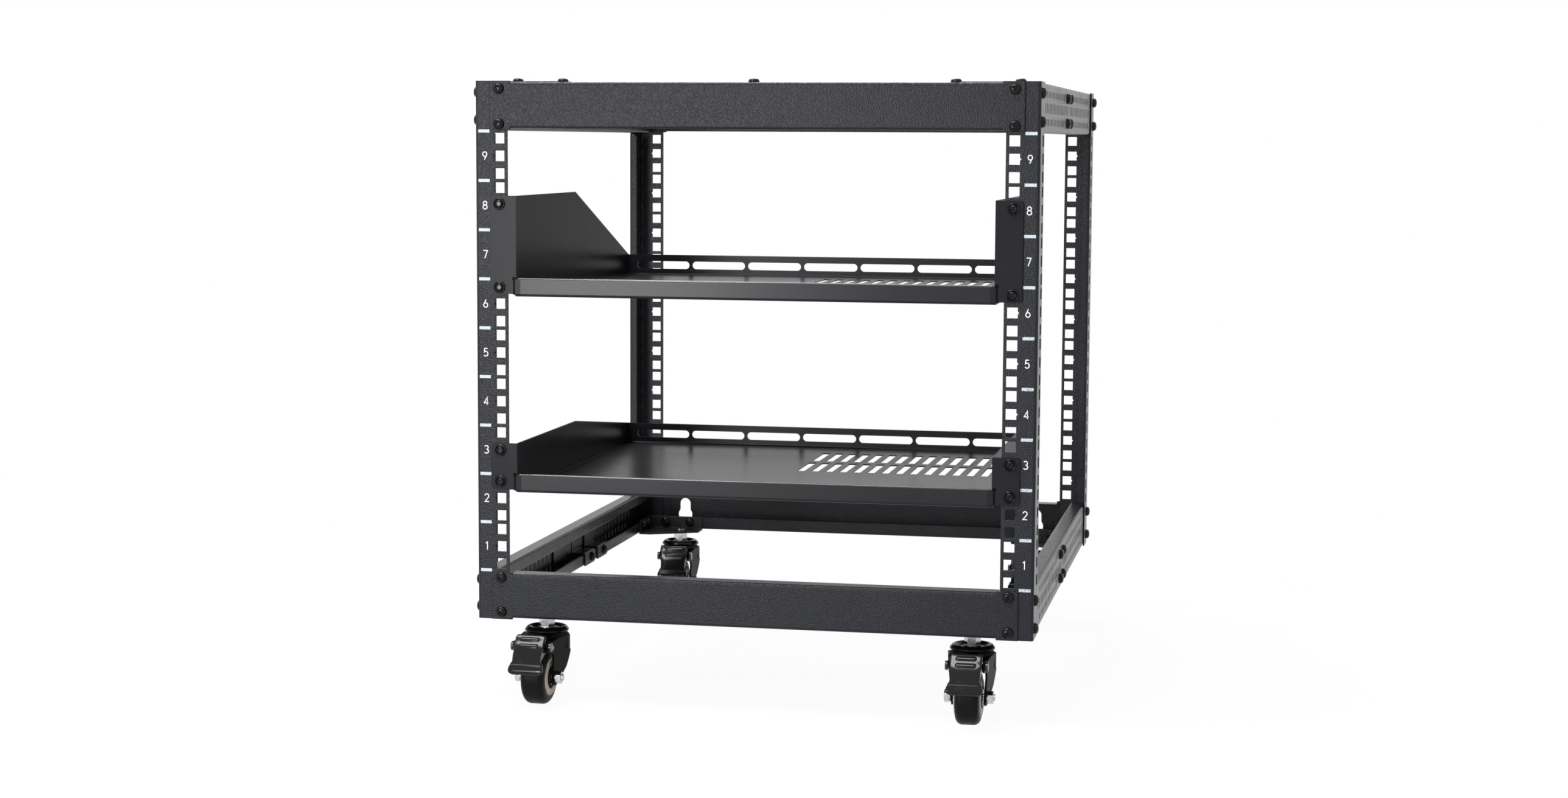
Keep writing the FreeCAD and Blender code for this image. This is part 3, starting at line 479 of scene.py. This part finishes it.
railScrew = {"near": 6.35 * mm, "far": 38.1 * mm}
panelSpots = {"front": [], "rear": []}
for side in sides:
    for height in (unitTop + railScrew["near"], unitTop + railScrew["far"],
                   unitBase - railScrew["near"], unitBase - railScrew["far"]):
        panelSpots["front"].append(((side * rack["column"], panelFront, height), (0, -1, 0)))
        panelSpots["rear"].append(((side * rack["column"], panelRear, height), (0, 1, 0)))
for end, spots in panelSpots.items():
    fasten(end + "PanelScrews", panMesh, spots, "screw_black")

flankScrew = {"inset": 9.5 * mm, "spread": 12.5 * mm, "seam": (275 * mm, 305 * mm), "seamSpread": 12 * mm}
flankSpots, seamSpots = [], []
for side in sides:
    for level in ("bottom", "top"):
        railLow, railHigh = nodeBox("%s_%s_rail_front" % (sideName[side], level))
        middle = (railLow.z + railHigh.z) / 2
        webFace = side * max(abs(railLow.x), abs(railHigh.x))
        for lift in sides:
            height = middle + lift * flankScrew["spread"]
            for depth in (frontFace + flankScrew["inset"], rearFace - flankScrew["inset"]):
                flankSpots.append(((side * rack["halfWidth"], depth, height), (side, 0, 0)))
            for depth in flankScrew["seam"]:
                height = middle + lift * flankScrew["seamSpread"]
                seamSpots.append(((webFace, frontFace + depth, height), (side, 0, 0)))
fasten("postFlankScrews", panMesh, flankSpots, "screw_black")
fasten("seamScrews", panMesh, seamSpots, "screw_black")

# Clips along each side rail, one screw in the lip of each.
clipScrew = {"start": (296 * mm, 344 * mm), "along": 24.5 * mm, "up": 6.8 * mm, "face": 236 * mm}
clipSpots = []
for side in sides:
    for level, away in (("bottom", 1), ("top", -1)):
        railLow, railHigh = nodeBox("%s_%s_rail_front" % (sideName[side], level))
        edge = railLow.z if away > 0 else railHigh.z
        for start in clipScrew["start"]:
            depth = frontFace + start + clipScrew["along"]
            height = edge + away * clipScrew["up"]
            clipSpots.append(((side * clipScrew["face"], depth, height), (-side, 0, 0)))
fasten("clipScrews", panMesh, clipSpots, "screw_black")

# Caster and top brackets: two screws through each of the two folded flanges, and one on each top bracket.
bracketScrew = {"sheet": 2 * mm, "across": (20 * mm, 48 * mm), "along": (16 * mm, 34 * mm), "up": 9 * mm,
                "capAcross": 231.5 * mm, "capBack": 55.5 * mm}
bracketSpots, topSpots = [], []
topPlate = nodeBox("top_brackets")[1].z
for side in sides:
    for end, away in (("front", 1), ("rear", -1)):
        low, high = nodeBox("%s_%s_caster_bracket" % (end, sideName[side]))
        outer = side * max(abs(low.x), abs(high.x))
        face = low.y if away > 0 else high.y
        sheet, up = bracketScrew["sheet"], bracketScrew["up"]
        for spots, height in ((bracketSpots, low.z + up), (topSpots, topPlate - up)):
            for step in bracketScrew["across"]:
                spots.append(((outer - side * step, face + away * sheet, height), (0, away, 0)))
            for step in bracketScrew["along"]:
                spots.append(((outer - side * sheet, face + away * step, height), (-side, 0, 0)))
        depth = (frontFace if away > 0 else rearFace) + away * bracketScrew["capBack"]
        topSpots.append(((side * bracketScrew["capAcross"], depth, topPlate), (0, 0, 1)))
fasten("bracketScrews", panMesh, bracketSpots, "screw_black")
fasten("topBracketScrews", panMesh, topSpots, "screw_black")

crownScrew = {"across": (-175 * mm, 0, 180 * mm), "back": 8 * mm, "drop": 1.2 * mm}
crown = nodeBox("front_top_rail")[1].z - crownScrew["drop"]
crownSpots = [((across, frontFace + crownScrew["back"], crown), (0, 0, 1)) for across in crownScrew["across"]]
fasten("crownScrews", panMesh, crownSpots, "screw_black")
print("rack: screws on posts, rails, clips and brackets")

earScrew = {"lower": (82.55 * mm, 111.1 * mm), "upper": (259.5 * mm, 334.8 * mm)}
for level, heights in earScrew.items():
    earFront = nodeBox(level + "_shelf")[0].y
    spots = [((side * rack["column"], earFront, unitBase + height), (0, -1, 0))
             for side in sides for height in heights]
    fasten(level + "EarWashers", washerMesh, spots, "screw_black")
    fasten(level + "EarBolts", buttonMesh, spots, "screw_black")

# Shelf fronts: a dark strip painted on as the shade of the relief slit between ear and lip, and the hem along
# the top of the lip.
lipShadeStripAndHem = {"across": 218.9 * mm, "half": 0.9 * mm, "low": 1.6 * mm, "lip": 16 * mm, "relief": 1.9 * mm,
           "proud": 0.04 * mm, "sunk": 0.5 * mm, "arcs": 20, "hem": 0.85 * mm, "hemEnd": 215.5 * mm,
           "hemSteps": 20, "sheet": 1.2 * mm}


# Outline of the painted shade strip: the slit, with a round relief at its top by the lip.
def shadeStripOutline():
    half, relief = lipShadeStripAndHem["half"], lipShadeStripAndHem["relief"]
    start = math.acos(half / relief)
    arcs = lipShadeStripAndHem["arcs"]
    points = [(-half, lipShadeStripAndHem["low"]), (half, lipShadeStripAndHem["low"])]
    for k in range(arcs + 1):
        a = -start + (math.pi + 2 * start) * k / arcs
        points.append((relief * math.cos(a), lipShadeStripAndHem["lip"] + relief * math.sin(a)))
    return points


def hemProfile():
    r, reach = lipShadeStripAndHem["hem"], lipShadeStripAndHem["hemEnd"]
    rise = [(r * math.sin(a), r * (1 - math.cos(a))) for a in quarterTurn]
    return [(x, -reach + z) for x, z in rise] + [(x, reach - z) for x, z in reversed(rise)]


for level in earScrew:
    shelfLow = nodeBox(level + "_shelf")[0]
    merged = bmesh.new()
    for side in sides:
        # Each slit is a thin matte black strip just proud of the front: painted shade where the gap would be
        # dark.
        shadeStrip = prism(shadeStripOutline(), -lipShadeStripAndHem["sunk"], lipShadeStripAndHem["proud"])
        shadeStrip.transform(Matrix.Translation((side * lipShadeStripAndHem["across"], shelfLow.y, shelfLow.z))
                       @ Matrix.Rotation(math.radians(90), 4, "X"))
        gather(merged, shadeStrip)
    addPiece(level + "LipSeams", smoothMesh(merged, level + "LipSeams"), "fork_black", "frame")
    hem = lathe(hemProfile(), lipShadeStripAndHem["hemSteps"])
    hem.transform(Matrix.Translation((0, shelfLow.y + lipShadeStripAndHem["sheet"] / 2, shelfLow.z + lipShadeStripAndHem["lip"]))
                  @ Matrix.Rotation(math.radians(90), 4, "Y"))
    hemMesh = smoothMesh(hem, level + "LipHem", angle=60)
    addPiece(level + "LipHem", hemMesh, "shelf_hem", "frame")
print("rack: shelf bolts and lips")


# Unit marks: a dash on each unit line and the unit's number beside its middle hole.
unitMark = {"dashNear": 241.7 * mm, "dashFar": 252.2 * mm, "dashTall": 2.8 * mm, "digit": 246.2 * mm,
            "skin": 0.06 * mm, "skinStep": 0.5, "sink": 0.05 * mm, "wornBelow": 6}


def dashes(name, side, lines, finish):
    shape = bmesh.new()
    for line in lines:
        height = unitBase + line * rack["unit"]
        low, high = sorted((side * unitMark["dashNear"], side * unitMark["dashFar"]))
        half = unitMark["dashTall"] / 2
        corners = [(low, height - half), (high, height - half), (high, height + half), (low, height + half)]
        front = [shape.verts.new((x, frontFace - unitMark["skin"], z)) for x, z in corners]
        back = [shape.verts.new((x, frontFace + unitMark["sink"], z)) for x, z in corners]
        shape.faces.new(front)
        shape.faces.new(list(reversed(back)))
        band(shape, back, front)
    bmesh.ops.recalc_face_normals(shape, faces=shape.faces)
    addPiece(name, smoothMesh(shape, name), finish, "frame")


# Numerals drawn with a pen of even width, in a box one wide and 1.8 tall.
numeralPen = {"wide": 3.9 * mm, "tall": 1.8, "pen": 0.82 * mm, "sharpest": 0.45, "arcStep": 12, "fewest": 4}


def arc(x, y, wide, tall, start, end):
    count = max(numeralPen["fewest"], int(abs(end - start) / numeralPen["arcStep"]))
    turns = [math.radians(start + (end - start) * k / count) for k in range(count + 1)]
    return [(x + wide * math.cos(a), y + tall * math.sin(a)) for a in turns]


numerals = {
    1: [[(0.18, 1.5), (0.56, 1.8), (0.56, 0)]],
    2: [arc(0.5, 1.31, 0.47, 0.49, 170, -38) + [(0.04, 0), (1, 0)]],
    3: [arc(0.46, 1.36, 0.42, 0.44, 150, -90), arc(0.46, 0.47, 0.5, 0.47, 90, -150)],
    4: [[(0.74, 0), (0.74, 1.8), (0, 0.46), (1, 0.46)]],
    5: [[(0.9, 1.8), (0.18, 1.8), (0.1, 0.95)] + arc(0.46, 0.56, 0.5, 0.56, 118, -150)],
    6: [[(0.6, 1.8), (0.08, 0.72)], arc(0.5, 0.52, 0.48, 0.52, 0, 360)],
    7: [[(0, 1.8), (1, 1.8), (0.36, 0)]],
    8: [arc(0.5, 1.37, 0.41, 0.43, 0, 360), arc(0.5, 0.47, 0.49, 0.47, 0, 360)],
    9: [[(0.4, 0), (0.92, 1.08)], arc(0.5, 1.28, 0.48, 0.52, 0, 360)],
}


def penStroke(shape, points, place, skin):
    scale, half = numeralPen["wide"], numeralPen["pen"] / 2
    closed = (Vector(points[0]) - Vector(points[-1])).length < 1e-6
    spots = [Vector(((x - 0.5) * scale, (y - numeralPen["tall"] / 2) * scale)) for x, y in points]
    if closed:
        spots.pop()
    count = len(spots)
    rails = []
    for k, spot in enumerate(spots):
        before = (spot - spots[k - 1]).normalized() if k or closed else (spots[1] - spot).normalized()
        after = (spots[(k + 1) % count] - spot).normalized() if closed or k + 1 < count else before
        along = (before + after).normalized()
        aside = Vector((-along.y, along.x)) * (half / max(numeralPen["sharpest"], along.dot(before)))
        rails.append((spot + aside, spot - aside))
    rings = []
    for left, right in rails:
        corners = [(left, -skin), (right, -skin), (right, unitMark["sink"]), (left, unitMark["sink"])]
        rings.append([shape.verts.new((place.x + p.x, place.y + level, place.z + p.y))
                      for p, level in corners])
    for first, second in zip(rings, rings[1:] + rings[:1] if closed else rings[1:]):
        band(shape, first, second)
    if not closed:
        shape.faces.new(rings[0])
        shape.faces.new(rings[-1])


def digits(name, side):
    shape = bmesh.new()
    for unit in range(rack["units"]):
        height = unitBase + (unit + 0.5) * rack["unit"]
        for order, points in enumerate(numerals[unit + 1]):
            place = Vector((side * unitMark["digit"], frontFace, height))
            penStroke(shape, points, place, unitMark["skin"] * (1 + unitMark["skinStep"] * order))
    bmesh.ops.recalc_face_normals(shape, faces=shape.faces)
    addPiece(name, smoothMesh(shape, name), "digit_white", "frame")


allLines = range(rack["units"] + 1)
dashes("leftDashes", -1, allLines, "marking_white")
dashes("rightDashes", 1, [k for k in allLines if k >= unitMark["wornBelow"]], "marking_white")
dashes("rightWornDashes", 1, [k for k in allLines if k < unitMark["wornBelow"]], "marking_worn")
digits("leftDigits", -1)
digits("rightDigits", 1)
print("rack: unit marks")


# Casters: rivets beside the pedal pin, on the sloping faces of the fork legs.
forkRivet = {"ahead": 35.5 * mm, "height": 54.5 * mm, "root": 17.25 * mm, "toe": -0.1192, "splay": 0.0752,
             "radius": 2.3 * mm, "rise": 0.9 * mm, "sunk": 0.4 * mm, "steps": 28}


def rivetHead():
    r, h, sunk = forkRivet["radius"], forkRivet["rise"], forkRivet["sunk"]
    profile = [(0, -sunk), (r, -sunk), (r, 0.25 * h), (0.86 * r, 0.7 * h), (0.55 * r, h), (0.4 * r, 0.8 * h),
               (0.3 * r, 0.4 * h), (0, 0.3 * h)]
    return smoothMesh(lathe(profile, forkRivet["steps"]), "rivetHead")


# Black bearing covers that fill the middle of each hub, as radius and height in mm.
bearingCover = {
    "profile": [(3.3, 12.3), (3.5, 12.6), (6.3, 12.65), (7.2, 12.3), (7.3, 8.3), (8.0, 7.9), (8.7, 8.5),
                (9.4, 8.5), (9.9, 7.9), (10.5, 7.8), (10.5, 7.4)],
    "steps": 48,
}


def coverHead():
    profile = [(radius * mm, height * mm) for radius, height in bearingCover["profile"]]
    return smoothMesh(lathe(profile, bearingCover["steps"]), "bearingCover")


# Pedal: a stamped tread with rolled edges and two beads, in mm ahead of its pin and above it.
pedalForm = {
    "path": [(1.2, 11.1), (3.2, 10.3), (6.8, 6.2), (10.5, 2), (13.4, -2.2), (15.6, -6.2), (17.3, -10.2),
             (18.9, -14), (20.6, -16.9), (21.2, -18.8), (21.1, -20.8), (20, -22.5)],
    "flare": [(-22.7, 13.6), (-20.9, 15.8), (-18.5, 16.5), (-15.5, 16.3), (-13.5, 15.3), (-9.5, 13.3),
              (-6.5, 12.9), (-3, 13.3), (1.5, 14.2), (10, 14.2), (11.1, 13.4)],
    "ear": [(2.6, 9.7), (9.9, 1.5), (14.5, -5.3), (16.7, -10.6), (11, -9.5), (5, -6.5), (0, -5.2), (-4, -3.4),
            (-5, 0.5), (-4, 5), (0, 9)],
    "earInside": 11.8, "sheet": 1.5, "roll": 1.7, "skirt": 1.6, "stations": 64,
    "beads": [((5.6, 7.55), 9.4, 2.3, 1.25), ((10.2, 2.35), 9.4, 2.3, 1.25)],
    "crease": ((18.85, -13.9), 14.2, 0.6, 0.5),
    "beadSteps": 40, "beadRings": 6, "beadSink": 0.15, "weld": 1e-4,
}


def lerpRow(rows, at):
    for (x0, y0), (x1, y1) in zip(rows, rows[1:]):
        if x0 <= at <= x1:
            part = (at - x0) / (x1 - x0)
            part = part * part * (3 - 2 * part)
            return y0 + (y1 - y0) * part
    return rows[0][1] if at < rows[0][0] else rows[-1][1]


def throughPoints(points, count):
    ends = [2 * points[0] - points[1]] + points + [2 * points[-1] - points[-2]]
    spots = []
    for step in range(count):
        place = step * (len(points) - 1) / (count - 1)
        k = min(int(place), len(points) - 2)
        s = place - k
        a, b, c, d = ends[k:k + 4]
        spots.append(0.5 * (2 * b + (c - a) * s + (2 * a - 5 * b + 4 * c - d) * s ** 2
                            + (3 * b - a - 3 * c + d) * s ** 3))
    return spots


def pedalTread():
    form = pedalForm
    line = throughPoints([Vector(point) for point in form["path"]], form["stations"])
    roll, skirt = form["roll"], form["skirt"]
    shape = bmesh.new()
    rows = []
    for k, spot in enumerate(line):
        along = (line[min(k + 1, len(line) - 1)] - line[max(k - 1, 0)]).normalized()
        outward = Vector((-along.y, along.x))
        wide = lerpRow(form["flare"], spot.y)
        half = [(0, 0), ((wide - roll) * 0.35, 0), ((wide - roll) * 0.7, 0)]
        half += [(wide - roll + roll * math.sin(a), roll * (math.cos(a) - 1)) for a in quarterTurn]
        half.append((wide, -roll - skirt))
        section = [(-x, drop) for x, drop in reversed(half[1:])] + half
        row = []
        for x, drop in section:
            place = spot + outward * drop
            row.append(shape.verts.new((x, place.x, place.y)))
        rows.append(row)
    for before, after in zip(rows, rows[1:]):
        for k in range(len(before) - 1):
            shape.faces.new([before[k], before[k + 1], after[k + 1], after[k]])
    bmesh.ops.recalc_face_normals(shape, faces=shape.faces)
    if sum((face.normal.y for face in shape.faces)) < 0:
        bmesh.ops.reverse_faces(shape, faces=shape.faces)
    bmesh.ops.solidify(shape, geom=shape.faces[:], thickness=form["sheet"])
    return shape


def bead(shape, row, along):
    centre, long, half, high = row
    centre, outward = Vector(centre), Vector((-along.y, along.x))
    steps, rings = pedalForm["beadSteps"], pedalForm["beadRings"]
    layers = []
    for ring in range(rings + 1):
        turn = math.pi / 2 * ring / rings
        reach, rise = half * math.cos(turn), high * math.sin(turn)
        layer = []
        for k in range(steps):
            a = 2 * math.pi * k / steps
            x = reach * math.cos(a) + math.copysign(long - half, math.cos(a))
            place = centre + along * reach * math.sin(a) + outward * (rise - pedalForm["beadSink"])
            layer.append(shape.verts.new((x, place.x, place.y)))
        layers.append(layer)
    for lower, upper in zip(layers, layers[1:]):
        band(shape, lower, upper)


def pedalMesh():
    form = pedalForm
    shape = pedalTread()
    path = [Vector(point) for point in form["path"]]
    for row in form["beads"]:
        bead(shape, row, (path[3] - path[2]).normalized())
    bead(shape, form["crease"], (path[8] - path[6]).normalized())
    for hand in sides:
        inner, outer = hand * form["earInside"], hand * (form["earInside"] + form["sheet"])
        loops = [[shape.verts.new((x, a, h)) for a, h in form["ear"]] for x in (inner, outer)]
        for loop in loops:
            shape.faces.new(loop)
        band(shape, *loops)
    bmesh.ops.remove_doubles(shape, verts=shape.verts[:], dist=form["weld"])
    bmesh.ops.recalc_face_normals(shape, faces=shape.faces)
    bmesh.ops.scale(shape, vec=(mm, mm, mm), verts=shape.verts[:])
    return shape


rivetMesh = rivetHead()
coverMesh = coverHead()
joints = {row["name"]: row for row in frame["record"]["behaviour"]["joints"]}
for end in ("front", "rear"):
    for side in sideName.values():
        corner = "%s_%s" % (end, side)
        stem = Vector(joints[corner + "_swivel"]["pos_m"])
        across = Vector(joints[corner + "_roll"]["axis"])
        ahead = across.cross(Vector((0, 0, 1)))
        reach = (forkRivet["root"] + forkRivet["toe"] * forkRivet["ahead"]
                 + forkRivet["splay"] * forkRivet["height"])
        spots = []
        for hand in sides:
            spot = stem + across * hand * reach + ahead * forkRivet["ahead"]
            spot.z = forkRivet["height"]
            outward = across * hand - ahead * forkRivet["toe"] - Vector((0, 0, forkRivet["splay"]))
            spots.append((spot, outward))
        fasten(corner + "Rivets", rivetMesh, spots, "zinc", corner + "_caster")
        wheel = Vector(joints[corner + "_roll"]["pos_m"])
        fasten(corner + "BearingCovers", coverMesh, [(wheel, across), (wheel, -across)], "caster_black",
               corner + "_wheel")
        pedalShape = pedalMesh()
        pin = Vector(joints[corner + "_brake_tilt"]["pos_m"])
        turned = Matrix((across, ahead, Vector((0, 0, 1)))).transposed().to_4x4()
        pedalShape.transform(Matrix.Translation(pin) @ turned)
        if turned.determinant() < 0:
            bmesh.ops.reverse_faces(pedalShape, faces=pedalShape.faces)
        tread = smoothMesh(pedalShape, corner + "Pedal", angle=40)
        pedal = addPiece(corner + "Pedal", tread, "caster_black", corner + "_brake")
        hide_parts(corner + "_pedal")
print("rack: caster pedals, rivets and covers")


# Stage: a pale floor, a white surround and three soft lamps.
stage = {"floor": 6.0, "floorColour": (0.86, 0.86, 0.86), "fill": 0.36, "fade": (0.1, 0.17), "near": 0.95,
         "aim": (0, 0, 0.3)}
floorMesh = bpy.data.meshes.new("floor")
half = stage["floor"]
corners = [(-half, -half, 0), (half, -half, 0), (half, half, 0), (-half, half, 0)]
floorMesh.from_pydata(corners, [], [(0, 1, 2, 3)])
floor = bpy.data.objects.new("floor", floorMesh)
bpy.context.collection.objects.link(floor)


def seenRay(sheet):
    path = sheet.node("ShaderNodeLightPath")
    seen = path.out("Is Camera Ray") + path.out("Is Glossy Ray") + path.out("Is Transmission Ray")
    return sheet.node("ShaderNodeClamp", {}, {"Value": seen})


floorFinish = bpy.data.materials.new("paleFloor")
floorFinish.use_nodes = True
floorSheet = Sheet(floorFinish.node_tree)
matte = floorSheet.node("ShaderNodeBsdfDiffuse", {}, {"Color": rgba(stage["floorColour"])})
bright = floorSheet.node("ShaderNodeEmission", {}, {"Color": (1, 1, 1, 1), "Strength": 1.0})
spread = floorSheet.node("ShaderNodeVectorMath", {"operation": "LENGTH"}, {0: floorSheet.place()}).out("Value")
fade = floorSheet.ramp(spread * (1 / stage["floor"]), *stage["fade"])
whiteness = stage["near"] + fade * (1 - stage["near"])  # near the rack the floor keeps its shadow
mixed = floorSheet.node("ShaderNodeMixShader", {},
                        {"Fac": seenRay(floorSheet) * whiteness, 1: matte, 2: bright})
floorSheet.node("ShaderNodeOutputMaterial", {}, {"Surface": mixed})
floorMesh.materials.append(floorFinish)

world = bpy.data.worlds.new("studio")
bpy.context.scene.world = world
world.use_nodes = True
worldSheet = Sheet(world.node_tree)
seen = seenRay(worldSheet)
glow = worldSheet.node("ShaderNodeBackground", {}, {"Color": (1, 1, 1, 1),
                                                     "Strength": seen + (1 - seen) * stage["fill"]})
worldSheet.node("ShaderNodeOutputWorld", {}, {"Surface": glow})

lamps = {
    "keyLamp": {"spot": (-0.83, -2.75, 0.48), "size": (0.5, 0.96), "power": 38},
    "topLamp": {"spot": (-0.6, -0.95, 2.3), "size": (1.8, 0.6), "power": 62},
    "rimLamp": {"spot": (-0.5, 1.8, 2.1), "size": (1.6, 0.4), "power": 40},
}
for name, lamp in lamps.items():
    light = bpy.data.lights.new(name, "AREA")
    light.shape = "RECTANGLE"
    light.size, light.size_y = lamp["size"]
    light.energy = lamp["power"]
    holder = bpy.data.objects.new(name, light)
    holder.location = lamp["spot"]
    facing = Vector(stage["aim"]) - Vector(lamp["spot"])
    holder.rotation_euler = facing.to_track_quat("-Z", "Y").to_euler()
    bpy.context.collection.objects.link(holder)
print("rack: stage and lamps")

cameraSettings = {"place": (0.47339, -2.50935, 0.51573), "heading": 11.217, "tilt": 5.729, "roll": 0.309,
                  "lens": 59.10, "film": 36.0}
lensData = bpy.data.cameras.new("photoCamera")
lensData.lens = cameraSettings["lens"]
lensData.sensor_width = cameraSettings["film"]
lensData.sensor_fit = "HORIZONTAL"
camera = bpy.data.objects.new("photoCamera", lensData)
aim = (Matrix.Rotation(math.radians(cameraSettings["heading"]), 4, "Z")
       @ Matrix.Rotation(math.radians(90 - cameraSettings["tilt"]), 4, "X")
       @ Matrix.Rotation(math.radians(cameraSettings["roll"]), 4, "Z"))
camera.matrix_world = Matrix.Translation(cameraSettings["place"]) @ aim
bpy.context.collection.objects.link(camera)
bpy.context.scene.camera = camera
bpy.context.scene.view_settings.view_transform = "Standard"
